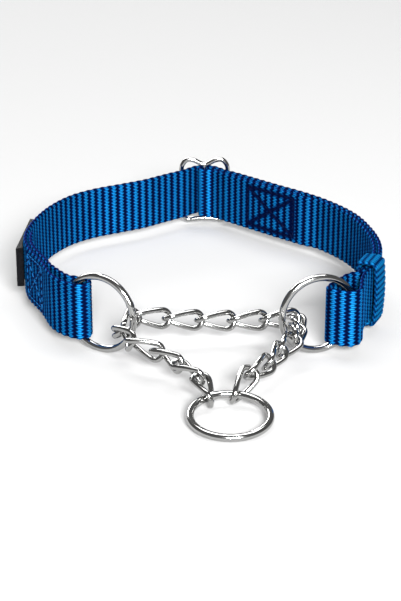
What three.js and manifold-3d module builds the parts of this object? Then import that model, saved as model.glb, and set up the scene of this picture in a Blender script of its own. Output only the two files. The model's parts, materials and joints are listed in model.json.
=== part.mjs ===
// A half-choke (martingale) dog collar: 25 mm webbing, a chrome slider, three
// welded rings and a twisted curb chain. Millimetres, +Z up. The collar stands
// on the edge of its webbing, the leash ring lies in front of it at -Y.
import * as THREE from "three";
import { mergeVertices } from "three/addons/utils/BufferGeometryUtils.js";
import Module from "manifold-3d";

// Webbing
const webbingWidth = 25;
const webbingThickness = 2.0;
const layerGap = 0.3;
const layerPitch = webbingThickness + layerGap;
const webbingBottom = 5;
const webbingMiddle = webbingBottom + webbingWidth / 2;

// Rings
const sideRingRadius = 16;
const sideRingWire = 3.0;
const leashRingRadius = 15.4;
const leashRingWire = 3.1;
const ringSteps = 48;
const ringSides = 10;

// Chain
const chainWire = 2.3;
const linkHalfLength = 8.1;
const linkHalfWidth = 3.7;
const linkTwist = Math.PI / 2;
const chainGap = 0.3;
const linkSteps = 28;
const linkSides = 8;

// Slider
const sliderWire = 2.3;
const sliderBarAt = 11.4;
const sliderHumpAt = 15.4;
const sliderLift = 0.9;

// Label
const labelHeight = 18;

// The whole collar is moved by this much, so that its origin is the middle of its footprint.
const centring = new THREE.Vector3(0.95, 6.3, 0);

function surface(name, color, roughness, metalness = 0) {
  return new THREE.MeshStandardMaterial({ name, color, roughness, metalness });
}
const steel = (name) => surface(name, 0xd4d7da, 0.12, 1);
const nylon = (name) => surface(name, 0x0c4ea3, 0.75);
const thread = (name) => surface(name, 0x1c6fc4, 0.6);
const blackPatch = (name) => surface(name, 0x101216, 0.5);

const collar = new THREE.Group();
collar.position.copy(centring);

function addPiece(name, geometry, material) {
  const mesh = new THREE.Mesh(geometry, material(name));
  mesh.name = name;
  collar.add(mesh);
  return mesh;
}

const planPoint = (x, y) => new THREE.Vector2(x, y);
function heading(degrees) {
  const angle = THREE.MathUtils.degToRad(degrees);
  return planPoint(Math.cos(angle), Math.sin(angle));
}

// ---------------------------------------------------------------- rings
// A side ring stands upright. Its "reach" is the level direction from the webbing to the chain.
const leftRing = { centre: planPoint(-41.3, -44), reach: heading(-30) };
const rightRing = { centre: planPoint(48.7, -45), reach: heading(197) };
const ringHeight = sideRingRadius + sideRingWire / 2;

function addSideRing(name, ring) {
  const torus = new THREE.TorusGeometry(sideRingRadius, sideRingWire / 2, ringSides, ringSteps);
  const mesh = addPiece(name, torus, steel);
  mesh.rotation.set(Math.PI / 2, 0, ring.reach.angle(), "ZXY");
  mesh.position.set(ring.centre.x, ring.centre.y, ringHeight);
}

addSideRing("left_side_ring", leftRing);
addSideRing("right_side_ring", rightRing);

// The leash ring lies on the ground with its back lifted a little by the two links that hold it.
const leashRingTilt = THREE.MathUtils.degToRad(6.2);
const leashRingCentre = new THREE.Vector3(
  11.3, -109.9, leashRingWire / 2 + leashRingRadius * Math.sin(leashRingTilt));

function leashRingPoint(degreesFromBack) {
  const angle = THREE.MathUtils.degToRad(degreesFromBack);
  const level = leashRingRadius * Math.cos(angle);
  return new THREE.Vector3(
    leashRingRadius * Math.sin(angle), level * Math.cos(leashRingTilt), level * Math.sin(leashRingTilt),
  ).add(leashRingCentre);
}

const leashTorus = new THREE.TorusGeometry(leashRingRadius, leashRingWire / 2, ringSides, ringSteps);
const leashRing = addPiece("leash_ring", leashTorus, steel);
leashRing.rotation.x = leashRingTilt;
leashRing.position.copy(leashRingCentre);

// ---------------------------------------------------------------- closed wire
// A round wire swept along a closed curve.
function closedWire(curve, steps, radius, sides) {
  const frames = curve.computeFrenetFrames(steps, true);
  const positions = [];
  const faces = [];
  for (let step = 0; step < steps; step += 1) {
    const centre = curve.getPointAt(step / steps);
    for (let side = 0; side < sides; side += 1) {
      const angle = (2 * Math.PI * side) / sides;
      const rim = centre.clone()
        .addScaledVector(frames.normals[step], radius * Math.cos(angle))
        .addScaledVector(frames.binormals[step], radius * Math.sin(angle));
      positions.push(rim.x, rim.y, rim.z);
    }
  }
  for (let step = 0; step < steps; step += 1) {
    const next = (step + 1) % steps;
    for (let side = 0; side < sides; side += 1) {
      const beside = (side + 1) % sides;
      const a = step * sides + side;
      const b = next * sides + side;
      const c = next * sides + beside;
      const d = step * sides + beside;
      faces.push(a, d, b, b, d, c);
    }
  }
  const geometry = new THREE.BufferGeometry();
  geometry.setAttribute("position", new THREE.Float32BufferAttribute(positions, 3));
  geometry.setIndex(faces);
  geometry.computeVertexNormals();
  return geometry;
}

// ---------------------------------------------------------------- chain links
// The centreline of a curb link: an oval with round ends, twisted by a quarter turn along its length.
class TwistedOval extends THREE.Curve {
  getPoint(t, target = new THREE.Vector3()) {
    const straight = 2 * (linkHalfLength - linkHalfWidth);
    const bend = Math.PI * linkHalfWidth;
    const half = straight + bend;
    let run = (((t % 1) + 1) % 1) * 2 * half;
    const mirrored = run >= half;
    if (mirrored) run -= half;
    let x;
    let across;
    if (run < straight) {
      x = -straight / 2 + run;
      across = -linkHalfWidth;
    } else {
      const angle = (run - straight) / linkHalfWidth;
      x = straight / 2 + linkHalfWidth * Math.sin(angle);
      across = -linkHalfWidth * Math.cos(angle);
    }
    if (mirrored) {
      x = -x;
      across = -across;
    }
    const turn = (-linkTwist / 2) * (x / linkHalfLength);
    return target.set(x, across * Math.cos(turn), across * Math.sin(turn));
  }
}
const linkGeometry = closedWire(new TwistedOval(), linkSteps, chainWire / 2, linkSides);

// A link lies between two contact points. With no roll its far end opens flat
// to someone in front of the collar, looking down a little.
const frontward = new THREE.Vector3(0, -0.92, 0.39).normalize();

function addLink(name, from, to, rollDegrees) {
  const along = to.clone().sub(from).normalize();
  const facing = frontward.clone().addScaledVector(along, -frontward.dot(along)).normalize();
  const upward = facing.clone().cross(along);
  const middleTurn = THREE.MathUtils.degToRad(45 + rollDegrees);
  const broad = upward.clone().multiplyScalar(Math.cos(middleTurn))
    .addScaledVector(facing, Math.sin(middleTurn));
  const third = along.clone().cross(broad);
  const mesh = addPiece(name, linkGeometry, steel);
  mesh.setRotationFromMatrix(new THREE.Matrix4().makeBasis(along, broad, third));
  mesh.position.copy(from).add(to).multiplyScalar(0.5);
}

const point = (x, y, z) => new THREE.Vector3(x, y, z);

// The two end links hook the leash ring: the contact lies on the wire's front side, inside the ring.
function hookPoint(ringPoint, linkStart) {
  const along = ringPoint.clone().sub(linkStart).normalize();
  return ringPoint.clone().addScaledVector(along, (leashRingWire + chainGap) / 2);
}

// Contact points of each run, chosen where the links rest against each other.
const leftRun = [
  point(-33.3, -53.6, 13.2), point(-27.9, -65.8, 14), point(-17.2, -69.9, 11.3),
  point(-9, -78, 10), point(-0.4, -86.6, 8.3),
];
leftRun.push(hookPoint(leashRingPoint(-32.5), leftRun[leftRun.length - 1]));

const rightRun = [
  point(19.8, -87.4, 10.8), point(27, -78.8, 10.7), point(32.2, -68.9, 12),
  point(38.6, -57.8, 12.1), point(40, -44.5, 11.5),
];
rightRun.unshift(hookPoint(leashRingPoint(10.2), rightRun[0]));

const topStart = point(-27.3, -44, 16.1);
const topEnd = point(39.9, -35.2, 11.2);
const topSag = 1.6;
const topLinks = 5;

function topPoint(fraction) {
  const sag = 4 * topSag * fraction * (1 - fraction);
  return topStart.clone().lerp(topEnd, fraction).sub(point(0, 0, sag));
}

const leftRolls = [11, 6, 20, 45, 74];
const rightRolls = [-5, -9, 0, -27, -9];
const topRolls = [-2, 0, 0, 0, -5];
leftRolls.forEach((roll, index) => {
  addLink(`chain_link_left_${index + 1}`, leftRun[index], leftRun[index + 1], roll);
});
rightRolls.forEach((roll, index) => {
  addLink(`chain_link_right_${index + 1}`, rightRun[index], rightRun[index + 1], roll);
});
topRolls.forEach((roll, index) => {
  const start = topPoint(index / topLinks);
  const end = topPoint((index + 1) / topLinks);
  addLink(`chain_link_top_${index + 1}`, start, end, roll);
});
addLink("chain_link_left_corner", leftRun[0], topStart, 10);
addLink("chain_link_right_corner", rightRun[rightRun.length - 1], topEnd, -6);

// ---------------------------------------------------------------- webbing
// One strip of webbing makes the whole strap. Its plan is a centreline through points chosen along it.
// From above it runs: left tail, fold round the left ring, left side, over the slider's middle bar,
// right side, loop round the right ring, back along the inside, round the middle bar, right tail.
const sliderCentre = planPoint(2, 108.5);
const layerCentre = webbingThickness / 2 + layerGap;
const barWrapRadius = sliderWire / 2 + layerCentre;
const overBar = barWrapRadius + layerPitch;

function fromRing(ring, along, aside) {
  const side = planPoint(-ring.reach.y, ring.reach.x);
  return ring.centre.clone().addScaledVector(ring.reach, along).addScaledVector(side, aside);
}
const fromSlider = (x, y) => planPoint(sliderCentre.x + x, sliderCentre.y + y);

// The fold holds the left ring: a half-round end, and two sides that close up behind the ring's wire.
const foldRadius = 4;
const foldCentre = -10;
const foldNeck = 3;
const foldNeckAt = -17.5;

const outerRoute = [
  fromRing(leftRing, foldCentre, -foldRadius), fromRing(leftRing, -13, -foldRadius + 0.2),
  fromRing(leftRing, foldNeckAt, -foldNeck),
  planPoint(-62, -32), planPoint(-67.5, -16.5), planPoint(-75, 1), planPoint(-77.2, 14),
  planPoint(-76, 29), planPoint(-72.6, 43.5), planPoint(-67.8, 56), planPoint(-60.2, 68),
  planPoint(-50, 77), planPoint(-38.5, 83.6), planPoint(-27, 90.4), planPoint(-17, 98.6),
  fromSlider(-10.2, -3), fromSlider(-5, 2.4), fromSlider(0, overBar), fromSlider(5, 2.4),
  fromSlider(10.2, -3),
  planPoint(19.2, 99.5), planPoint(27.5, 91.7), planPoint(38.4, 81.5), planPoint(49.6, 71.4),
  planPoint(60.5, 59), planPoint(70.6, 42), planPoint(76.2, 22),
  planPoint(78, 8), planPoint(77.5, -4), planPoint(75.2, -14), planPoint(71.6, -23),
  planPoint(67.9, -32.3),
];

const flat = (points) => points.map((p) => new THREE.Vector3(p.x, p.y, 0));
const outerCurve = new THREE.CatmullRomCurve3(flat(outerRoute), false, "centripetal");
outerCurve.arcLengthDivisions = 2000;
const outerLength = outerCurve.getLength();

// A point of the strap's plan: so far along the outer layer, and so far in from it towards the neck.
function strapPoint(distance, inward) {
  const share = THREE.MathUtils.clamp(distance / outerLength, 0, 1);
  const place = outerCurve.getPointAt(share);
  const course = outerCurve.getTangentAt(share);
  return planPoint(place.x + course.y * inward, place.y - course.x * inward);
}

function strapPoints(from, to, inward, spacing = 3) {
  const steps = Math.max(2, Math.ceil(Math.abs(to - from) / spacing));
  return Array.from({ length: steps + 1 }, (unused, index) => {
    const distance = from + ((to - from) * index) / steps;
    return strapPoint(distance, typeof inward === "function" ? inward(distance) : inward);
  });
}

function arcPoints(centre, radius, fromDegrees, toDegrees, steps) {
  return Array.from({ length: steps + 1 }, (unused, index) => {
    const angle = fromDegrees + ((toDegrees - fromDegrees) * index) / steps;
    return centre.clone().addScaledVector(heading(angle), radius);
  });
}

// The distance along the outer layer at which it passes nearest to a place.
function distanceNear(place) {
  let best = 0;
  let nearest = Infinity;
  for (let distance = 0; distance <= outerLength; distance += 0.25) {
    const away = strapPoint(distance, 0).distanceTo(place);
    if (away < nearest) {
      nearest = away;
      best = distance;
    }
  }
  return best;
}

const leftTailEnd = 68;
const leftLayersMeet = 28;
const sliderExit = distanceNear(fromSlider(10.2, -3));
const rightTailEnd = sliderExit + 50;
const layersClose = rightTailEnd + 12;
const loopStart = outerLength - 1;

// On the right the returning layer lies inside the sewn tail, then closes up to the outer layer.
const returnInward = (distance) =>
  layerPitch * (2 - THREE.MathUtils.smoothstep(distance, rightTailEnd + 1.5, layersClose));

const reachDegrees = THREE.MathUtils.radToDeg(leftRing.reach.angle());
const strapCentreline = [
  ...strapPoints(leftTailEnd, leftLayersMeet, layerPitch),
  fromRing(leftRing, foldNeckAt, foldNeck),
  fromRing(leftRing, -13, foldRadius - 0.2),
  ...arcPoints(fromRing(leftRing, foldCentre, 0), foldRadius, reachDegrees + 90, reachDegrees - 90, 8),
  ...strapPoints(3, loopStart, 0),
  // The open loop that holds the right ring.
  planPoint(66.9, -38), planPoint(66.4, -44), planPoint(64.8, -48.6), planPoint(62.3, -50.5),
  planPoint(59.2, -50.2), planPoint(55.6, -48.8), planPoint(53, -47.1), planPoint(52.4, -44.9),
  planPoint(53.7, -42.2), planPoint(57, -37.4), planPoint(61.2, -31.6),
  ...strapPoints(loopStart - 4, sliderExit + 5, returnInward),
  fromSlider(5, -barWrapRadius - 1.2), fromSlider(2, -barWrapRadius - 0.2),
  ...arcPoints(sliderCentre, barWrapRadius, 270, 90, 8),
  fromSlider(2.4, barWrapRadius - 0.3),
  ...strapPoints(sliderExit - 3, rightTailEnd, layerPitch),
];

// A strip of webbing seen from above: the centreline made as thick as the webbing.
function stripOutline(centres, thickness) {
  const near = [];
  const far = [];
  centres.forEach((centre, index) => {
    const before = centres[Math.max(0, index - 1)];
    const after = centres[Math.min(centres.length - 1, index + 1)];
    const course = after.clone().sub(before).normalize();
    const side = planPoint(-course.y, course.x).multiplyScalar(thickness / 2);
    near.push(centre.clone().add(side));
    far.unshift(centre.clone().sub(side));
  });
  return new THREE.Shape([...near, ...far]);
}

function smoothCentreline(points, spacing) {
  const curve = new THREE.CatmullRomCurve3(flat(points), false, "centripetal");
  curve.arcLengthDivisions = 3000;
  const steps = Math.ceil(curve.getLength() / spacing);
  return curve.getSpacedPoints(steps).map((p) => planPoint(p.x, p.y));
}

const upright = (shape, height) => new THREE.ExtrudeGeometry(shape, { depth: height, bevelEnabled: false });

const strap = upright(stripOutline(smoothCentreline(strapCentreline, 2.2), webbingThickness), webbingWidth);
addPiece("webbing_strap", strap, nylon).position.z = webbingBottom;

// ---------------------------------------------------------------- keeper
// A short band round both layers, just behind the right ring.
const keeperLength = 11.5;
const keeperMiddle = outerLength - 13.7;
const keeperPlay = 0.6;

function roundedBox(width, height, radius) {
  const shape = new THREE.Shape();
  const x = width / 2 - radius;
  const y = height / 2 - radius;
  shape.absarc(x, -y, radius, -Math.PI / 2, 0);
  shape.absarc(x, y, radius, 0, Math.PI / 2);
  shape.absarc(-x, y, radius, Math.PI / 2, Math.PI);
  shape.absarc(-x, -y, radius, Math.PI, 1.5 * Math.PI);
  return shape;
}
const keeperInside = layerPitch + webbingThickness + 2 * keeperPlay;
const keeperHeight = webbingWidth + 2 * layerGap;
const band = roundedBox(keeperInside + 2 * webbingThickness, keeperHeight + 2 * webbingThickness, 2.2);
band.holes.push(new THREE.Path(roundedBox(keeperInside, keeperHeight, 0.5).getPoints(3).reverse()));
const keeperBand = new THREE.ExtrudeGeometry(band, {
  depth: keeperLength, bevelEnabled: false, curveSegments: 4,
});
keeperBand.translate(0, 0, -keeperLength / 2);
const keeper = addPiece("keeper_loop", keeperBand, nylon);
const keeperPlace = strapPoint(keeperMiddle, layerPitch / 2);
const keeperCourse = outerCurve.getTangentAt(keeperMiddle / outerLength);
keeper.setRotationFromMatrix(new THREE.Matrix4().makeBasis(
  new THREE.Vector3(-keeperCourse.y, keeperCourse.x, 0), new THREE.Vector3(0, 0, 1),
  new THREE.Vector3(keeperCourse.x, keeperCourse.y, 0)));
keeper.position.set(keeperPlace.x, keeperPlace.y, webbingMiddle);

// ---------------------------------------------------------------- label
// A stiff patch with a flat outer face. Its inner face follows the strap's curve.
const labelNear = planPoint(-81, 6.4);
const labelFar = planPoint(-78.2, 44.6);
const labelInner = strapPoints(distanceNear(labelFar), distanceNear(labelNear), -layerCentre);
const labelShape = new THREE.Shape([labelNear, labelFar, ...labelInner].reverse());
const label = addPiece("side_label", upright(labelShape, labelHeight), blackPatch);
label.position.z = webbingMiddle - labelHeight / 2;

// ---------------------------------------------------------------- slider
// One bent wire frame with two humps above and below, and a middle bar for the strap to wrap round.
const sliderQuarter = [
  [sliderBarAt, 0], [sliderBarAt, 9.5], [sliderBarAt - 0.6, 13], [sliderBarAt - 2.8, sliderHumpAt],
  [sliderBarAt - 6.2, sliderHumpAt - 0.2],
];
const sliderTopDip = sliderHumpAt - 2.4;
const sliderBottomDip = sliderHumpAt - 0.65;
const sliderHalf = (dip) => [
  ...sliderQuarter.map(([x, z]) => [-x, z]), [0, dip], ...[...sliderQuarter].reverse(),
];
const sliderLower = sliderHalf(sliderBottomDip).slice(1, -1).reverse();
const sliderFrame = [...sliderHalf(sliderTopDip), ...sliderLower.map(([x, z]) => [x, -z])];
const sliderCurve = new THREE.CatmullRomCurve3(
  sliderFrame.map(([x, z]) => point(x, 0, z)), true, "centripetal");
sliderCurve.arcLengthDivisions = 800;

const wasm = await Module();
wasm.setup();

function solidOf(geometry) {
  const bare = geometry.clone();
  bare.deleteAttribute("normal");
  bare.deleteAttribute("uv");
  const merged = mergeVertices(bare, 1e-4);
  return new wasm.Manifold(new wasm.Mesh({
    numProp: 3,
    vertProperties: new Float32Array(merged.getAttribute("position").array),
    triVerts: new Uint32Array(merged.getIndex().array),
  }));
}

function geometryOf(solid) {
  const mesh = solid.getMesh();
  const geometry = new THREE.BufferGeometry();
  geometry.setAttribute("position", new THREE.Float32BufferAttribute(mesh.vertProperties, 3));
  geometry.setIndex(Array.from(mesh.triVerts));
  geometry.computeVertexNormals();
  return geometry;
}

const sliderWireLoop = closedWire(sliderCurve, 72, sliderWire / 2, 10);
const barLength = sliderTopDip + sliderBottomDip;
const middleBar = new THREE.CylinderGeometry(sliderWire / 2, sliderWire / 2, barLength, 10);
middleBar.rotateX(Math.PI / 2);
middleBar.translate(0, 0, (sliderTopDip - sliderBottomDip) / 2);
const slider = addPiece("slider", geometryOf(solidOf(sliderWireLoop).add(solidOf(middleBar))), steel);
slider.position.set(sliderCentre.x, sliderCentre.y, webbingMiddle + sliderLift);

// ---------------------------------------------------------------- sewn seams
// A seam is a raised line of thread on the face of the webbing. A box seam is a square with a cross in it.
const seamWidth = 0.9;
const seamDepth = 0.5;
const seamHeight = 18;
const seamStep = 2;

// Bends a flat bar on to the strap: x runs along the outer layer, y up, z away from the webbing's face.
function bendOnStrap(geometry, start, layerInward, faceInward) {
  const places = geometry.getAttribute("position");
  for (let index = 0; index < places.count; index += 1) {
    const inward = layerInward + faceInward * (layerCentre + places.getZ(index));
    const plan = strapPoint(start + faceInward * places.getX(index), inward);
    places.setXYZ(index, plan.x, plan.y, places.getY(index));
  }
  return geometry;
}

// A row of thread from one flat point to another, cut into short steps so that it can bend.
function threadBar(from, to) {
  const length = from.distanceTo(to) + seamWidth;
  const bar = new THREE.BoxGeometry(length, seamWidth, seamDepth, Math.ceil(length / seamStep), 1, 1);
  bar.rotateZ(to.clone().sub(from).angle());
  bar.translate((from.x + to.x) / 2, (from.y + to.y) / 2, seamDepth / 2);
  return bar;
}

function addSeam(name, rows, start, layerInward, faceInward) {
  const bars = rows.map(([from, to]) =>
    solidOf(bendOnStrap(threadBar(from, to), start, layerInward, faceInward)));
  const joined = bars.reduce((whole, bar) => whole.add(bar));
  addPiece(name, geometryOf(joined), thread).position.z = webbingMiddle - seamHeight / 2;
}

function boxWithCross(length) {
  const corners = [
    planPoint(0, 0), planPoint(length, 0), planPoint(length, seamHeight), planPoint(0, seamHeight)];
  const sides = corners.map((corner, index) => [corner, corners[(index + 1) % corners.length]]);
  return [...sides, [corners[0], corners[2]], [corners[1], corners[3]]];
}

const leftBoxLength = 18;
const leftBoxEnd = distanceNear(planPoint(-66.4, -17)) + leftBoxLength;
const rightBoxStart = sliderExit + 20;
addSeam("left_box_seam", boxWithCross(leftBoxLength), leftBoxEnd, 0, -1);
addSeam("left_tail_seam", [[planPoint(0, 0), planPoint(0, seamHeight)]], leftTailEnd - 3, layerPitch, 1);
addSeam("right_box_seam", boxWithCross(27), rightBoxStart, 2 * layerPitch, 1);

export default collar;
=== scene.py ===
"""Looks for a half-choke (martingale) dog collar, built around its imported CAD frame. Metres, +Z up."""
import json
import math

import bmesh
import bpy
import numpy as np
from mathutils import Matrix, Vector

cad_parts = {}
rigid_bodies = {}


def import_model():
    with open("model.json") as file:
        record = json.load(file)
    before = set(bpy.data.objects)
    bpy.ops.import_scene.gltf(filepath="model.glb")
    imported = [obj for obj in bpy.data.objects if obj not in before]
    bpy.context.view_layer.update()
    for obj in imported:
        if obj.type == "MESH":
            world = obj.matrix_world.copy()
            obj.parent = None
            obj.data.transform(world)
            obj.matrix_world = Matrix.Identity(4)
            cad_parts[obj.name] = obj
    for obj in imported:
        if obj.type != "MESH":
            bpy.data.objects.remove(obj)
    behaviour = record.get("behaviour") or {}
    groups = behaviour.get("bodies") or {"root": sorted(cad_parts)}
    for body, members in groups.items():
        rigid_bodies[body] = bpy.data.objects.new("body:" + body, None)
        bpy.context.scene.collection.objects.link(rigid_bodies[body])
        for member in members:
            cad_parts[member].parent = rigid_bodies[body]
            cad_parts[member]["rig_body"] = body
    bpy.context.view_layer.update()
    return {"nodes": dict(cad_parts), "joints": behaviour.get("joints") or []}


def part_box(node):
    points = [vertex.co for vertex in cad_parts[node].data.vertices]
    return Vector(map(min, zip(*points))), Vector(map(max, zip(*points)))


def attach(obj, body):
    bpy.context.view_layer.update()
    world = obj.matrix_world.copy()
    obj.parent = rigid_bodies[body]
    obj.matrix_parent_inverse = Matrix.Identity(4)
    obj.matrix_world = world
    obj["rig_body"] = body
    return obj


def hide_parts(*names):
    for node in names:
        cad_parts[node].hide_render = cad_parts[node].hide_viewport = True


MM = 0.001
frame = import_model()
cad = frame["nodes"]

# ---------------------------------------------------------------- driving dimensions
# The weave: ribs run across the strap, and each is a row of yarn crowns that lean to and fro.
WEBBING_WIDTH = 25 * MM
RIB_PITCH = 3.9 * MM
CROWNS_ACROSS = 30
RIB_SAMPLES = 10
CROWN_SAMPLES = 4
VALLEY_HALF = 0.66 * MM
CREST_HALF = 1.06 * MM
ZIGZAG = 0.27 * MM
RIB_SWING = 0.85
RIB_OFFSET = 0.58
RIB_POWER = 0.8
CROWN_FALL = 0.55
CROWN_POWER = 2.2
# The strap's edges: drawn in between ribs, rounded, and darkened with painted shade where they round
# off.
SCALLOP = 0.3 * MM
EDGE_ROUNDING = 1.1 * MM
EDGE_THICKNESS = 0.12
EDGE_PAINTED_SHADE = 0.55
# The fibre pattern is laid out in mm. The strip's second face takes another part of it.
SECOND_FACE_SHIFT = 40

# The keeper: its own weave, the bulge of its outer side, and the spacing of its outline's points.
KEEPER_PITCH = 2.6 * MM
KEEPER_RELIEF = 1.2
KEEPER_BULGE = 0.9 * MM
KEEPER_CORNER = 1.6 * MM
KEEPER_CORNER_POINTS = 7
KEEPER_SPACING = 1.2 * MM

# The patch: a rim round a sunk face, and bevels on the edges that turn by more than a given angle.
LABEL_RIM = 1.6 * MM
LABEL_SINK = 0.3 * MM
LABEL_BEVEL = 0.25 * MM
LABEL_SHARP_DEGREES = 50

# Sewing: each stitch is a thread that dips at both ends, and the line of stitches draws the weave in.
THREAD_RADIUS = 0.34 * MM
THREAD_SIDES = 8
THREAD_TIP = 0.25
THREAD_TAPER = 0.4
STITCH_LENGTH = 2.5 * MM
STITCH_GAP = 0.5 * MM
STITCH_REST = 0.06
STITCH_LIFT = 0.86 * MM
STITCH_DIP = 0.5 * MM
STITCH_POINTS = 9
PULL_REACH = 1.0 * MM
PULL_DEPTH = 0.9
# A seam's points lie within this distance, along the strap, of the point nearest to its middle.
SEAM_SEARCH = 25 * MM

RING_STEPS = 160
WIRE_SIDES = 24
# A ring's weld: its half width in radians, how much it thickens the wire, and the groove in its middle.
WELD_WIDTH = 0.09
WELD_SWELL = 0.09
WELD_GROOVE = 0.4

# The visible links have a little less wire than the CAD links, which leaves room for their motion.
LINK_STEPS = 96
LINK_SIDES = 16
LINK_WIRE = 2.22 * MM
CAD_LINK_WIRE = 2.3 * MM
LINK_HALF_WIDTH = 3.7 * MM

# The slider's outline in mm: points of its end as (in from the end, height), then points of its
# shoulder as (in from the end, below the top). The dips are at the middle of its long sides.
SLIDER_END = ((0, 0), (0, 5), (0, 9.5), (0.6, 13))
SLIDER_SHOULDER = ((2.8, 0), (6.2, 0.2))
SLIDER_TOP_DIP = 2.4 * MM
SLIDER_BOTTOM_DIP = 0.65 * MM
SLIDER_STEP = 0.4 * MM
SLIDER_BAR_SHARE = 0.98
SLIDER_BAR_STEPS = 12

# Reading the CAD meshes: points this close are one, and a face this near the lowest point is underneath.
MERGE_DISTANCE = 0.002 * MM
BASE_TOLERANCE = 0.01 * MM
# The sine of a turn that counts as a square corner, and the points between two points of a smooth path.
SQUARE_TURN = 0.9
CURVE_SAMPLES = 16


# ---------------------------------------------------------------- materials
def new_material(name, base_color, **sockets):
    """A principled material. Each socket is given by its name, with _ for a space."""
    material = bpy.data.materials.new(name)
    material.use_nodes = True
    tree = material.node_tree
    shader = tree.nodes["Principled BSDF"]
    shader.inputs["Base Color"].default_value = (*base_color, 1)
    for socket, value in sockets.items():
        shader.inputs[socket.replace("_", " ")].default_value = value
    return material, tree, shader


def add_node(tree, kind, **values):
    """A shader node with its settings, and with the input sockets that share a given name."""
    node = tree.nodes.new(kind)
    for key, value in values.items():
        if key in node.inputs:
            node.inputs[key].default_value = value
        else:
            setattr(node, key, value)
    return node


def color_ramp(tree, factor, stops):
    """The colour that a factor picks between stops of (place, colour)."""
    ramp = add_node(tree, "ShaderNodeValToRGB")
    elements = ramp.color_ramp.elements
    while len(elements) < len(stops):
        elements.new(0.5)
    for element, (place, color) in zip(elements, stops):
        element.position = place
        element.color = (*color, 1)
    tree.links.new(factor, ramp.inputs["Fac"])
    return ramp.outputs["Color"]


def add_bump(tree, shader, height, strength, distance):
    """Fine relief on top of the geometry."""
    bump = add_node(tree, "ShaderNodeBump", Strength=strength, Distance=distance)
    tree.links.new(height, bump.inputs["Height"])
    tree.links.new(bump.outputs["Normal"], shader.inputs["Normal"])


def chrome(name, tint=0.4):
    """Plated steel: mirror bright, with faint smears in the gloss and fine polishing marks."""
    material, tree, shader = new_material(name, (tint, tint, tint * 0.985), Metallic=1)
    places = add_node(tree, "ShaderNodeTexCoord")
    smears = add_node(tree, "ShaderNodeTexNoise", Scale=260, Detail=4, Roughness=0.6)
    tree.links.new(places.outputs["Object"], smears.inputs["Vector"])
    gloss = add_node(tree, "ShaderNodeMapRange")
    gloss.inputs["To Min"].default_value = 0.1
    gloss.inputs["To Max"].default_value = 0.16
    tree.links.new(smears.outputs["Fac"], gloss.inputs["Value"])
    tree.links.new(gloss.outputs["Result"], shader.inputs["Roughness"])
    marks = add_node(tree, "ShaderNodeTexNoise", Scale=2400, Detail=3)
    tree.links.new(places.outputs["Object"], marks.inputs["Vector"])
    add_bump(tree, shader, marks.outputs["Fac"], 0.02, 0.01 * MM)
    return material


def woven_nylon(name, stops):
    """Coloured by how high each point lies in the weave, with painted shade in the valleys and a painted
    sheen on the crowns, and with the yarn's fine fibres along the strap.
    """
    material, tree, shader = new_material(
        name, stops[-1][1], Roughness=0.6, Metallic=0.65, Specular_IOR_Level=0.02)
    shader.inputs["Specular Tint"].default_value = (0.03, 0.35, 0.8, 1)
    crown = add_node(tree, "ShaderNodeAttribute", attribute_name="crown")
    layout = add_node(tree, "ShaderNodeUVMap", uv_map="weave")
    stretch = add_node(tree, "ShaderNodeMapping")
    stretch.inputs["Scale"].default_value = (0.5, 9, 1)
    tree.links.new(layout.outputs["UV"], stretch.inputs["Vector"])
    fibres = add_node(tree, "ShaderNodeTexNoise", Scale=2.2, Detail=5, Roughness=0.7)
    tree.links.new(stretch.outputs["Vector"], fibres.inputs["Vector"])
    broad = add_node(tree, "ShaderNodeTexNoise", Scale=0.12, Detail=2)
    tree.links.new(layout.outputs["UV"], broad.inputs["Vector"])

    def scaled(source, amount):
        part = add_node(tree, "ShaderNodeMath", operation="MULTIPLY_ADD")
        part.inputs[1].default_value = amount
        part.inputs[2].default_value = -amount / 2
        tree.links.new(source, part.inputs[0])
        return part.outputs["Value"]

    def added(first, second):
        total = add_node(tree, "ShaderNodeMath", operation="ADD")
        tree.links.new(first, total.inputs[0])
        tree.links.new(second, total.inputs[1])
        return total.outputs["Value"]

    tone = added(crown.outputs["Fac"], scaled(fibres.outputs["Fac"], 0.35))
    tone = added(tone, scaled(broad.outputs["Fac"], 0.18))
    tree.links.new(color_ramp(tree, tone, stops), shader.inputs["Base Color"])
    add_bump(tree, shader, fibres.outputs["Fac"], 0.5, 0.09 * MM)
    return material


# Colours from the valleys of the weave, at 0, to its crowns, at 1: the yarn's navy, darkened by painted
# shade in the valleys and lightened to azure by a painted sheen on the crowns.
WEBBING_SHADE_AND_SHEEN = (
    (0.0, (0.0005, 0.002, 0.016)),
    (0.3, (0.0007, 0.005, 0.033)),
    (0.55, (0.001, 0.024, 0.095)),
    (0.8, (0.002, 0.078, 0.22)),
    (1.0, (0.005, 0.135, 0.33)))
# The keeper's stops: the same painted shade in the valleys, and a softer, darker painted sheen on the
# crowns.
KEEPER_SHADE_AND_SHEEN = (
    (0.0, (0.0005, 0.006, 0.03)),
    (0.3, (0.001, 0.02, 0.075)),
    (0.6, (0.0015, 0.045, 0.13)),
    (0.85, (0.002, 0.075, 0.18)),
    (1.0, (0.003, 0.09, 0.2)))
webbing_material = woven_nylon("webbing_weave", WEBBING_SHADE_AND_SHEEN)
keeper_material = woven_nylon("keeper_weave", KEEPER_SHADE_AND_SHEEN)


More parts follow.
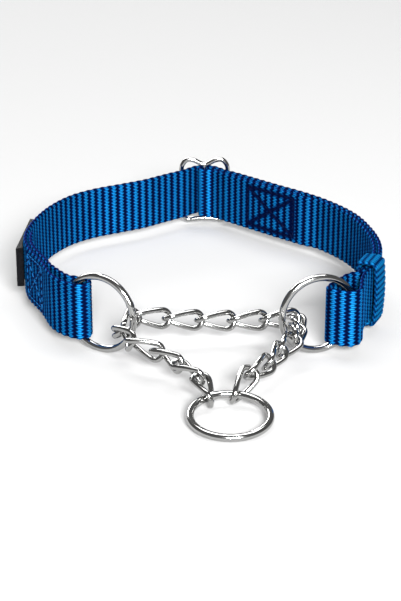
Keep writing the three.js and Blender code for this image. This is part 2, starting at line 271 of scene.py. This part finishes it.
def twisted_thread(name, color):
    """Sewing thread, with its plies as slanting bands: painted shade in the grooves between them and a
    painted highlight on their crests.
    """
    material, tree, shader = new_material(name, color, Roughness=0.6, Specular_IOR_Level=0.02)
    places = add_node(tree, "ShaderNodeTexCoord")
    plies = add_node(tree, "ShaderNodeTexWave", Scale=900, Distortion=1.5, bands_direction="DIAGONAL")
    tree.links.new(places.outputs["Object"], plies.inputs["Vector"])
    # Painted shade where the plies dip and painted highlight where they rise, following the bump's own
    # bands.
    dark, light = (tuple(share * part for part in color) for share in (0.45, 1.15))
    tone = color_ramp(tree, plies.outputs["Fac"], ((0.0, dark), (1.0, light)))
    tree.links.new(tone, shader.inputs["Base Color"])
    add_bump(tree, shader, plies.outputs["Fac"], 0.6, 0.08 * MM)
    return material


pale_thread = twisted_thread("pale_seam_thread", (0.004, 0.06, 0.18))
dark_thread = twisted_thread("dark_seam_thread", (0.0005, 0.002, 0.015))


def moulded_patch(name):
    """Dark rubbery plastic with a fine grain."""
    material, tree, shader = new_material(
        name, (0.002, 0.002, 0.002), Roughness=0.5, Specular_IOR_Level=0.02)
    places = add_node(tree, "ShaderNodeTexCoord")
    grain = add_node(tree, "ShaderNodeTexNoise", Scale=1500, Detail=3)
    tree.links.new(places.outputs["Object"], grain.inputs["Vector"])
    tone = color_ramp(tree, grain.outputs["Fac"], (
        (0.3, (0.001, 0.001, 0.001)), (0.7, (0.004, 0.004, 0.005))))
    tree.links.new(tone, shader.inputs["Base Color"])
    add_bump(tree, shader, grain.outputs["Fac"], 0.25, 0.05 * MM)
    return material


label_material = moulded_patch("label_rubber")


# ---------------------------------------------------------------- mesh helpers
def make_piece(name, vertices, faces, material, body, slot, *nodes):
    """A smooth mesh that rides on a body, and stands for the CAD nodes given."""
    mesh = bpy.data.meshes.new(name)
    mesh.from_pydata([tuple(v) for v in vertices], [], [tuple(f) for f in faces])
    mesh.polygons.foreach_set("use_smooth", np.ones(len(mesh.polygons), bool))
    mesh.materials.append(material)
    piece = bpy.data.objects.new(name, mesh)
    bpy.context.scene.collection.objects.link(piece)
    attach(piece, body)
    if nodes:
        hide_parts(*nodes)
    return piece


def grid_faces(rows, columns, close_rows=False, close_columns=False, first=0):
    """Quads between the points of a grid that is stored row after row."""
    row = np.arange(rows if close_rows else rows - 1)
    column = np.arange(columns if close_columns else columns - 1)
    r, c = np.meshgrid(row, column, indexing="ij")
    r_next, c_next = (r + 1) % rows, (c + 1) % columns
    corners = (r * columns + c, r_next * columns + c, r_next * columns + c_next, r * columns + c_next)
    return np.stack(corners, -1).reshape(-1, 4) + first


def circle(middle, first, second, radius, sides, turn=0.0):
    """Points round a circle that lies along two directions."""
    angles = [2 * math.pi * step / sides + turn for step in range(sides)]
    return [middle + radius * (math.cos(a) * first + math.sin(a) * second) for a in angles]


def sweep_closed(path, radius, sides):
    """A round wire along a closed path, with one radius or one for each point.
    Its frame is carried round the path, and the turn left over at the end is spread out."""
    path = np.asarray(path)
    count = len(path)
    radii = np.broadcast_to(radius, count)
    tangent = np.roll(path, -1, 0) - np.roll(path, 1, 0)
    tangent /= np.linalg.norm(tangent, axis=1)[:, None]
    side = np.cross(tangent[0], (0.31, 0.22, 0.92))
    sides_along = []
    for index in range(count + 1):
        course = tangent[index % count]
        side = side - course * side.dot(course)
        side = side / np.linalg.norm(side)
        sides_along.append(side)
    start, end = sides_along[0], sides_along[-1]
    leftover = math.atan2(np.cross(end, start).dot(tangent[0]), end.dot(start))
    vertices = []
    for index in range(count):
        turn = leftover * index / count
        across = np.cross(tangent[index], sides_along[index])
        vertices += circle(path[index], sides_along[index], across, radii[index], sides, turn)
    return np.array(vertices), grid_faces(count, sides, True, True)


def principal_frame(node):
    """The middle of a CAD node, its three axes, longest first and right-handed, and its points."""
    count = len(node.data.vertices)
    places = np.zeros(count * 3)
    node.data.vertices.foreach_get("co", places)
    places = np.unique(places.reshape(-1, 3).round(6), axis=0)
    middle = places.mean(0)
    _, axes = np.linalg.eigh(np.cov((places - middle).T))
    axes = axes[:, ::-1].T
    if np.linalg.det(axes) < 0:
        axes[2] = -axes[2]
    return middle, axes, places


# ---------------------------------------------------------------- rings
def weld_swell(angle, at):
    """How much a weld thickens the wire at an angle: a low collar with a groove in its middle."""
    away = abs((angle - at + math.pi) % (2 * math.pi) - math.pi) / WELD_WIDTH
    if away >= 1:
        return 0.0
    groove = WELD_GROOVE * (1 - min(1.0, 3 * away))
    return WELD_SWELL * (1 - away**2) * (1 - groove)


def build_ring(name, weld_towards):
    """A welded ring with the size and place of its CAD node."""
    middle, axes, places = principal_frame(cad[name])
    offsets = places - middle
    from_axis = np.linalg.norm(offsets - np.outer(offsets @ axes[2], axes[2]), axis=1)
    outer, inner = from_axis.max(), from_axis.min()
    radius, wire = (outer + inner) / 2, (outer - inner) / 2
    towards = np.array(weld_towards) - np.dot(weld_towards, axes[2]) * axes[2]
    weld_at = math.atan2(towards @ axes[1], towards @ axes[0])
    path = circle(middle, axes[0], axes[1], radius, RING_STEPS)
    angles = np.linspace(0, 2 * math.pi, RING_STEPS, endpoint=False)
    wires = np.array([wire * (1 + weld_swell(angle, weld_at)) for angle in angles])
    vertices, faces = sweep_closed(path, wires, WIRE_SIDES)
    make_piece(name + "_round", vertices, faces, chrome(name + "_chrome"), cad[name]["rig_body"],
               "steel", name)


build_ring("left_side_ring", (0.9, -0.45, 0.45))
build_ring("right_side_ring", (0.5, 0.1, -0.9))
build_ring("leash_ring", (-0.4, 0.9, 0))


# ---------------------------------------------------------------- chain
def twisted_oval(half_length, half_width, steps):
    """The centreline of a curb link: an oval with round ends, turned a quarter along its length."""
    straight = 2 * (half_length - half_width)
    half = straight + math.pi * half_width
    points = []
    for step in range(steps):
        run = 2 * half * step / steps
        mirrored = run >= half
        run -= half if mirrored else 0
        if run < straight:
            x, across = run - straight / 2, -half_width
        else:
            angle = (run - straight) / half_width
            x, across = straight / 2 + half_width * math.sin(angle), -half_width * math.cos(angle)
        if mirrored:
            x, across = -x, -across
        turn = -math.pi / 4 * x / half_length
        points.append((x, across * math.cos(turn), across * math.sin(turn)))
    return np.array(points)


chain_material = chrome("chain_chrome", 0.36)


def build_link(name):
    """A chain link along the axes of its CAD node."""
    middle, axes, places = principal_frame(cad[name])
    half_length = ((places - middle) @ axes[0]).max() - CAD_LINK_WIRE / 2
    path = twisted_oval(half_length, LINK_HALF_WIDTH, LINK_STEPS) @ axes + middle
    vertices, faces = sweep_closed(path, LINK_WIRE / 2, LINK_SIDES)
    make_piece(name + "_wire", vertices, faces, chain_material, cad[name]["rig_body"], "steel", name)


for name in sorted(cad):
    if name.startswith("chain_link"):
        build_link(name)


# ---------------------------------------------------------------- webbing route
def plan_outline(node):
    """The outline of an upright strip's underside, as points in order."""
    bm = bmesh.new()
    bm.from_mesh(node.data)
    bmesh.ops.remove_doubles(bm, verts=bm.verts, dist=MERGE_DISTANCE)
    low = min(v.co.z for v in bm.verts)
    directed_edges = {}
    for face in bm.faces:
        if max(v.co.z for v in face.verts) > low + BASE_TOLERANCE:
            continue
        loop = [v.index for v in face.verts]
        for a, b in zip(loop, loop[1:] + loop[:1]):
            directed_edges[(a, b)] = True
    bm.verts.ensure_lookup_table()
    border = {a: b for (a, b) in directed_edges if (b, a) not in directed_edges}
    start = next(iter(border))
    order = [start]
    while border[order[-1]] != start:
        order.append(border[order[-1]])
    points = np.array([bm.verts[i].co[:2] for i in order])
    bm.free()
    return points


def strip_centreline(node):
    """The middle line of an upright strip, from its left end to its right end."""
    outline = plan_outline(node)
    edges = np.roll(outline, -1, 0) - outline
    course = edges / np.linalg.norm(edges, axis=1)[:, None]
    turn = np.abs(np.cross(np.roll(course, 1, 0), course))
    square = turn > SQUARE_TURN
    ends = [i for i in range(len(outline)) if square[i] and square[(i + 1) % len(outline)]]
    ordered = np.roll(outline, -ends[0] - 1, 0)
    half = len(ordered) // 2
    middle = (ordered[:half] + ordered[::-1][:half]) / 2
    return middle if middle[0, 0] < middle[-1, 0] else middle[::-1]


def smooth_path(points, step, closed=False):
    """Evenly spaced points on a smooth curve through the given ones, and how far along each lies."""
    if closed:
        padded = np.vstack([points[-1], points, points[0], points[1]])
    else:
        padded = np.vstack([2 * points[0] - points[1], points, 2 * points[-1] - points[-2]])
    a, b, c, d = (padded[i:len(padded) - 3 + i] for i in range(4))
    t = np.linspace(0, 1, CURVE_SAMPLES, endpoint=False)[None, :, None]
    a, b, c, d = (part[:, None, :] for part in (a, b, c, d))
    curve = 0.5 * (2 * b + (c - a) * t + (2 * a - 5 * b + 4 * c - d) * t**2
                   + (3 * b - 3 * c + d - a) * t**3)
    curve = np.vstack([curve.reshape(-1, points.shape[1]), padded[-2][None]])
    travelled = np.append(0, np.cumsum(np.linalg.norm(np.diff(curve, axis=0), axis=1)))
    count = max(4, round(travelled[-1] / step))
    places = np.linspace(0, travelled[-1], count + 1)
    even = np.stack([np.interp(places, travelled, curve[:, k]) for k in range(points.shape[1])], -1)
    return (even[:-1] if closed else even), places


# ---------------------------------------------------------------- weave
def weave_height(along, across, pitch):
    """0 in the valleys of the weave to 1 on its crowns. All three are in metres."""
    column = across / WEBBING_WIDTH * CROWNS_ACROSS
    lean = np.where(np.floor(column).astype(int) % 2 == 0, 1.0, -1.0)
    over = np.abs(column - np.floor(column) - 0.5) * 2
    rib = (along - lean * ZIGZAG) / pitch
    ridge = np.clip(np.cos(2 * math.pi * rib) * RIB_SWING + RIB_OFFSET, 0, 1) ** RIB_POWER
    return ridge * (1 - CROWN_FALL * over**CROWN_POWER)


def strip_faces(rows, columns, closed):
    """Both faces of a strip, its two edges and, where it is open, its two ends."""
    count = rows * columns
    faces = [grid_faces(rows, columns, close_rows=closed),
             grid_faces(rows, columns, close_rows=closed, first=count)[:, ::-1]]
    row = np.arange(rows if closed else rows - 1)
    after = (row + 1) % rows
    for column, flip in ((0, False), (columns - 1, True)):
        near, far = row * columns + column, after * columns + column
        edge = np.stack([near, far, count + far, count + near], -1)
        faces.append(edge if flip else edge[:, ::-1])
    if not closed:
        for end_row, flip in ((0, True), (rows - 1, False)):
            near = end_row * columns + np.arange(columns - 1)
            end = np.stack([near, near + 1, count + near + 1, count + near], -1)
            faces.append(end if flip else end[:, ::-1])
    return np.vstack(faces)


def woven_strip(name, centres, outwards, widthways, distances, width, material, body, node,
                pitch=RIB_PITCH, relief=1.0, closed=False, pull=None):
    """A two-sided woven strip. centres, outwards and widthways give its path, face and edge directions.
    pull tells how far the sewing draws each face in, from 0 to 1."""
    share = np.linspace(0, 1, CROWNS_ACROSS * CROWN_SAMPLES + 1)
    rows, columns = len(centres), len(share)
    along = np.repeat(distances[:rows, None], columns, 1)
    across = np.repeat(share[None, :] * width, rows, 0)
    edge = np.clip(np.minimum(share, 1 - share) * width / EDGE_ROUNDING, 0, 1)
    edge_round = np.sqrt(1 - (1 - edge) ** 2)[None, :]
    vertices, crowns, layout = [], [], []
    for face, shift in ((1, 0.0), (-1, 0.5 * pitch)):
        crown = weave_height(along + shift, across, pitch)
        # The sewing lowers the crown value: this sinks the weave along the stitches and also gives it
        # the painted valley shade there.
        if pull:
            crown = crown * (1 - PULL_DEPTH * pull(along, across, face))
        half = CREST_HALF - (CREST_HALF - VALLEY_HALF) * relief * (1 - crown)
        half = half * (EDGE_THICKNESS + (1 - EDGE_THICKNESS) * edge_round)
        reach = width / 2 + SCALLOP * 0.5 * (np.cos(2 * math.pi * along / pitch) - 1)
        sideways = (share[None, :] * 2 - 1) * reach
        place = (centres[:, None, :] + outwards[:, None, :] * (face * half)[..., None]
                 + widthways[:, None, :] * sideways[..., None])
        vertices.append(place.reshape(-1, 3))
        # The crown value that colours the strip, darkened with painted shade towards its rounded edges.
        crowns.append((crown * (EDGE_PAINTED_SHADE + (1 - EDGE_PAINTED_SHADE) * edge_round)).reshape(-1))
        layout_shift = SECOND_FACE_SHIFT if face < 0 else 0
        layout.append(np.stack([along / MM, across / MM + layout_shift], -1).reshape(-1, 2))
    vertices = np.vstack(vertices)
    faces = strip_faces(rows, columns, closed)
    piece = make_piece(name, vertices, faces, material, body, "webbing", node)
    mesh = piece.data
    crown = mesh.attributes.new("crown", "FLOAT", "POINT")
    crown.data.foreach_set("value", np.concatenate(crowns).astype(np.float32))
    uv = mesh.uv_layers.new(name="weave")
    corner = np.zeros(len(mesh.loops), int)
    mesh.loops.foreach_get("vertex_index", corner)
    uv.data.foreach_set("uv", np.concatenate(layout)[corner].astype(np.float32).ravel())


strap_low, strap_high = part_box("webbing_strap")
strap_middle = (strap_low[2] + strap_high[2]) / 2
route, route_distance = smooth_path(strip_centreline(cad["webbing_strap"]), RIB_PITCH / RIB_SAMPLES)
route_course = np.gradient(route, axis=0)
route_course /= np.linalg.norm(route_course, axis=1)[:, None]
route_out = np.stack([-route_course[:, 1], route_course[:, 0], np.zeros(len(route))], -1)
upwards = np.tile((0.0, 0.0, 1.0), (len(route), 1))
strap_centres = np.column_stack([route, np.full(len(route), strap_middle)])


# ---------------------------------------------------------------- sewing lines
def seat_of(node):
    """Where a seam lies on the strap: its stretch of the route, its heights, and which face it is on."""
    places = np.array([v.co for v in node.data.vertices])
    middle = places.mean(0)
    offsets = middle[:2] - route
    nearest = np.argmin(np.linalg.norm(offsets, axis=1))
    face = 1 if offsets[nearest] @ route_out[nearest, :2] > 0 else -1
    candidates = np.flatnonzero(np.abs(route_distance - route_distance[nearest]) < SEAM_SEARCH)
    gaps = np.linalg.norm(places[:, None, :2] - route[None, candidates], axis=2)
    spots = route_distance[candidates[gaps.argmin(1)]]
    return spots.min(), spots.max(), places[:, 2].min(), places[:, 2].max(), face


def box_with_cross(start, end, low, high):
    """The four sides of a box seam and the two lines that cross inside it."""
    corners = [(start, low), (end, low), (end, high), (start, high)]
    edges = list(zip(corners, corners[1:] + corners[:1]))
    return edges + [(corners[0], corners[2]), (corners[1], corners[3])]


def sewing_lines():
    """Each seam's face of the strap and its lines, as pairs of (distance, height) places."""
    lines = {}
    for seam in ("left_box_seam", "right_box_seam"):
        start, end, low, high, face = seat_of(cad[seam])
        lines[seam] = face, box_with_cross(start, end, low, high)
    start, end, low, high, face = seat_of(cad["left_tail_seam"])
    middle = (start + end) / 2
    lines["left_tail_seam"] = face, [((middle, low), (middle, high))]
    return lines


seams = sewing_lines()


def seam_pull(along, across, face):
    """How far the sewing draws the weave in at each point of a face of the strap, from 0 to 1."""
    height = across + strap_middle - WEBBING_WIDTH / 2
    pull = np.zeros_like(along)
    for seam_face, lines in seams.values():
        if seam_face != face:
            continue
        for (from_distance, from_height), (to_distance, to_height) in lines:
            run, rise = to_distance - from_distance, to_height - from_height
            share = ((along - from_distance) * run + (height - from_height) * rise) / (run**2 + rise**2)
            share = np.clip(share, 0, 1)
            gap = np.hypot(along - from_distance - share * run, height - from_height - share * rise)
            pull = np.maximum(pull, np.exp(-(gap / PULL_REACH) ** 2))
    return pull


woven_strip("webbing_woven", strap_centres, route_out, upwards, route_distance, WEBBING_WIDTH,
            webbing_material, "strap", "webbing_strap", pull=seam_pull)


# ---------------------------------------------------------------- keeper
def rounded_loop(half_wide, half_high, corner, step):
    """A closed rounded rectangle as points in its own plane."""
    points = []
    for side_x, side_y, start in ((1, 1, 0), (-1, 1, 90), (-1, -1, 180), (1, -1, 270)):
        for angle in np.linspace(start, start + 90, KEEPER_CORNER_POINTS):
            turn = math.radians(angle)
            points.append((side_x * (half_wide - corner) + corner * math.cos(turn),
                           side_y * (half_high - corner) + corner * math.sin(turn)))
    dense = []
    for first, second in zip(points, points[1:] + points[:1]):
        steps = max(1, round(math.dist(first, second) / KEEPER_SPACING))
        way = np.array(second) - first
        dense += [tuple(np.array(first) + way * k / steps) for k in range(steps)]
    return smooth_path(np.array(dense), step, closed=True)


def build_keeper():
    """The band round both layers, woven finer than the strap and bulging a little on its outer side."""
    low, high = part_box("keeper_loop")
    middle = (Vector(low) + Vector(high)) / 2
    slide = next(joint for joint in frame["joints"] if joint["name"] == "keeper_slide")
    course = Vector(slide["axis"]).normalized()
    sideways = Vector((-course.y, course.x, 0))
    node = cad["keeper_loop"]
    reach = [(v.co - middle).dot(sideways) for v in node.data.vertices]
    length = [(v.co - middle).dot(course) for v in node.data.vertices]
    half_wide = (max(reach) - min(reach)) / 2 - CREST_HALF
    half_high = (high[2] - low[2]) / 2 - CREST_HALF
    loop, distances = rounded_loop(half_wide, half_high, KEEPER_CORNER, KEEPER_PITCH / RIB_SAMPLES)
    ribs = round(distances[-1] / KEEPER_PITCH)
    distances = distances * (ribs * KEEPER_PITCH / distances[-1])
    outer = np.clip(loop[:, 0] / half_wide, 0, 1)
    loop[:, 0] += KEEPER_BULGE * outer * (1 - (loop[:, 1] / half_high) ** 2)
    tangent = np.roll(loop, -1, 0) - np.roll(loop, 1, 0)
    tangent /= np.linalg.norm(tangent, axis=1)[:, None]
    plane_x, plane_z = np.array(sideways), np.array((0, 0, 1.0))
    centres = np.array(middle) + loop[:, :1] * plane_x + loop[:, 1:] * plane_z
    outwards = tangent[:, 1:] * plane_x - tangent[:, :1] * plane_z
    widthways = np.tile(np.array(course), (len(loop), 1))
    width = max(length) - min(length)
    woven_strip("keeper_woven", centres, outwards, widthways, distances, width, keeper_material,
                "keeper", "keeper_loop", KEEPER_PITCH, KEEPER_RELIEF, closed=True)


build_keeper()


# ---------------------------------------------------------------- stitches
def on_strap(distance, height, face, lift):
    """The point at a distance along the strap and a height, lifted off one of its faces."""
    index = np.interp(distance, route_distance, np.arange(len(route)))
    low = min(int(index), len(route) - 2)
    part = index - low
    place = route[low] * (1 - part) + route[low + 1] * part
    out = route_out[low] * (1 - part) + route_out[low + 1] * part
    return np.array([place[0], place[1], height]) + out * face * lift


def stitch_tube(points):
    """A short round thread with thin ends, through the given points."""
    points = np.array(points)
    course = np.gradient(points, axis=0)
    course /= np.linalg.norm(course, axis=1)[:, None]
    vertices = []
    for place, tangent, share in zip(points, course, np.linspace(0, 1, len(points))):
        side = np.cross(tangent, (0.13, 0.41, 0.9))
        side /= np.linalg.norm(side)
        radius = THREAD_RADIUS * max(THREAD_TIP, math.sin(math.pi * share)) ** THREAD_TAPER
        vertices += circle(place, side, np.cross(tangent, side), radius, THREAD_SIDES)
    faces = [tuple(face) for face in grid_faces(len(points), THREAD_SIDES, close_columns=True)]
    faces.append(tuple(range(THREAD_SIDES))[::-1])
    faces.append(tuple(range(len(vertices) - THREAD_SIDES, len(vertices))))
    return vertices, faces


def sew(seam, thread):
    """Stitches along the lines of a seam."""
    face, lines = seams[seam]
    vertices, faces = [], []
    for (from_distance, from_height), (to_distance, to_height) in lines:
        length = math.dist((from_distance, from_height), (to_distance, to_height))
        count = max(1, round(length / (STITCH_LENGTH + STITCH_GAP)))
        for stitch in range(count):
            start = (stitch + STITCH_REST) / count
            end = (stitch + 1 - STITCH_REST) / count
            points = []
            for share in np.linspace(0, 1, STITCH_POINTS):
                reached = start + (end - start) * share
                distance = from_distance + (to_distance - from_distance) * reached
                height = from_height + (to_height - from_height) * reached
                lift = STITCH_LIFT - STITCH_DIP * abs(2 * share - 1) ** 3
                points.append(on_strap(distance, height, face, lift))
            tube, sides = stitch_tube(points)
            faces += [tuple(index + len(vertices) for index in side) for side in sides]
            vertices += tube
    make_piece(seam + "_stitches", vertices, faces, thread, "strap", "thread", seam)


sew("left_box_seam", pale_thread)
sew("left_tail_seam", pale_thread)
sew("right_box_seam", dark_thread)


# ---------------------------------------------------------------- label
def build_label():
    """The patch: the CAD shape with soft edges and a face sunk inside a narrow rim."""
    mesh = cad["side_label"].data.copy()
    mesh.name = "side_label_patch"
    mesh.materials.clear()
    mesh.materials.append(label_material)
    piece = bpy.data.objects.new("side_label_patch", mesh)
    bpy.context.scene.collection.objects.link(piece)
    bm = bmesh.new()
    bm.from_mesh(mesh)
    bmesh.ops.remove_doubles(bm, verts=bm.verts, dist=MERGE_DISTANCE)
    least = math.radians(LABEL_SHARP_DEGREES)
    sharp = [edge for edge in bm.edges if len(edge.link_faces) == 2 and edge.calc_face_angle() > least]
    bmesh.ops.bevel(bm, geom=sharp, offset=LABEL_BEVEL, segments=3, profile=0.5, affect="EDGES")
    bm.normal_update()
    upright = [face for face in bm.faces if abs(face.normal.z) < 0.1]
    outer = min(upright, key=lambda face: face.normal.x * face.calc_area())
    bmesh.ops.inset_region(bm, faces=[outer], thickness=LABEL_RIM, depth=0)
    bmesh.ops.inset_region(bm, faces=[outer], thickness=LABEL_SINK, depth=-LABEL_SINK)
    bm.to_mesh(mesh)
    bm.free()
    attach(piece, "strap")
    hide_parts("side_label")


build_label()


# ---------------------------------------------------------------- slider
def build_slider():
    """The wire frame, which dips at the middle of both long sides, and the bar between the dips."""
    low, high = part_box("slider")
    middle = (np.array(low) + np.array(high)) / 2
    wire = (high[1] - low[1]) / 2
    half_long = (high[0] - low[0]) / 2 - wire
    half_high = (high[2] - low[2]) / 2 - wire
    quarter = [(half_long - inwards * MM, height * MM) for inwards, height in SLIDER_END]
    quarter += [(half_long - inwards * MM, half_high - below * MM) for inwards, below in SLIDER_SHOULDER]
    top_dip, bottom_dip = half_high - SLIDER_TOP_DIP, half_high - SLIDER_BOTTOM_DIP

    def half_outline(dip):
        return [(-x, z) for x, z in quarter] + [(0, dip)] + quarter[::-1]

    outline = half_outline(top_dip) + [(x, -z) for x, z in half_outline(bottom_dip)[1:-1]][::-1]
    loop, _ = smooth_path(np.array(outline), SLIDER_STEP, closed=True)
    path = np.column_stack([loop[:, 0], np.zeros(len(loop)), loop[:, 1]]) + middle
    vertices, faces = sweep_closed(path, wire, WIRE_SIDES)
    vertices = list(vertices)
    x_axis, y_axis, z_axis = np.eye(3)
    bar_faces = grid_faces(SLIDER_BAR_STEPS, WIRE_SIDES, close_columns=True, first=len(vertices))
    for height in np.linspace(-bottom_dip, top_dip, SLIDER_BAR_STEPS):
        vertices += circle(middle + height * z_axis, x_axis, y_axis, wire * SLIDER_BAR_SHARE, WIRE_SIDES)
    make_piece("slider_wire", vertices, [*faces, *bar_faces], chrome("slider_chrome"), "slider",
               "steel", "slider")


build_slider()


# ---------------------------------------------------------------- floor, light and camera
def build_floor():
    """A plain pale floor, which is scenery and not a piece."""
    bpy.ops.mesh.primitive_plane_add(size=8)
    floor = bpy.context.object
    floor.name = "floor"
    material = new_material("floor_pale", (0.29, 0.29, 0.29), Roughness=1, Specular_IOR_Level=0)[0]
    floor.data.materials.append(material)


def add_light(name, place, target, size, power):
    """A soft rectangular light at a place, turned towards a target."""
    data = bpy.data.lights.new(name, "AREA")
    data.shape = "RECTANGLE"
    data.size, data.size_y = size
    data.energy = power
    light = bpy.data.objects.new(name, data)
    light.location = place
    light.rotation_euler = (Vector(target) - Vector(place)).to_track_quat("-Z", "Y").to_euler()
    bpy.context.scene.collection.objects.link(light)


build_floor()
add_light("key", (0.32, -1.9, 1.0), (0, 0, 0), (0.9, 0.55), 250)
add_light("overhead", (0.0, 0.5, 1.6), (0, 0.3, 0), (1.6, 0.8), 30)
add_light("back_fill", (-0.7, 1.8, 0.8), (0, 0, 0), (1.3, 0.6), 34)

world = bpy.data.worlds.new("studio")
world.use_nodes = True
world.node_tree.nodes["Background"].inputs["Color"].default_value = (1, 1, 1, 1)
world.node_tree.nodes["Background"].inputs["Strength"].default_value = 0.16
bpy.context.scene.world = world
bpy.context.scene.view_settings.view_transform = "Standard"

# The camera looks along +Y and down, at a point near the middle of the collar.
ELEVATION = math.radians(22.8)
DISTANCE = 0.75
AIM = Vector((0.95, 6.3, 4.5)) * MM
camera_data = bpy.data.cameras.new("camera")
camera_data.sensor_fit = "HORIZONTAL"
camera_data.sensor_width = 36
camera_data.lens = 153.2
camera = bpy.data.objects.new("camera", camera_data)
camera.location = AIM + DISTANCE * Vector((0, -math.cos(ELEVATION), math.sin(ELEVATION)))
camera.rotation_euler = (math.pi / 2 - ELEVATION, 0, 0)
bpy.context.scene.collection.objects.link(camera)
bpy.context.scene.camera = camera
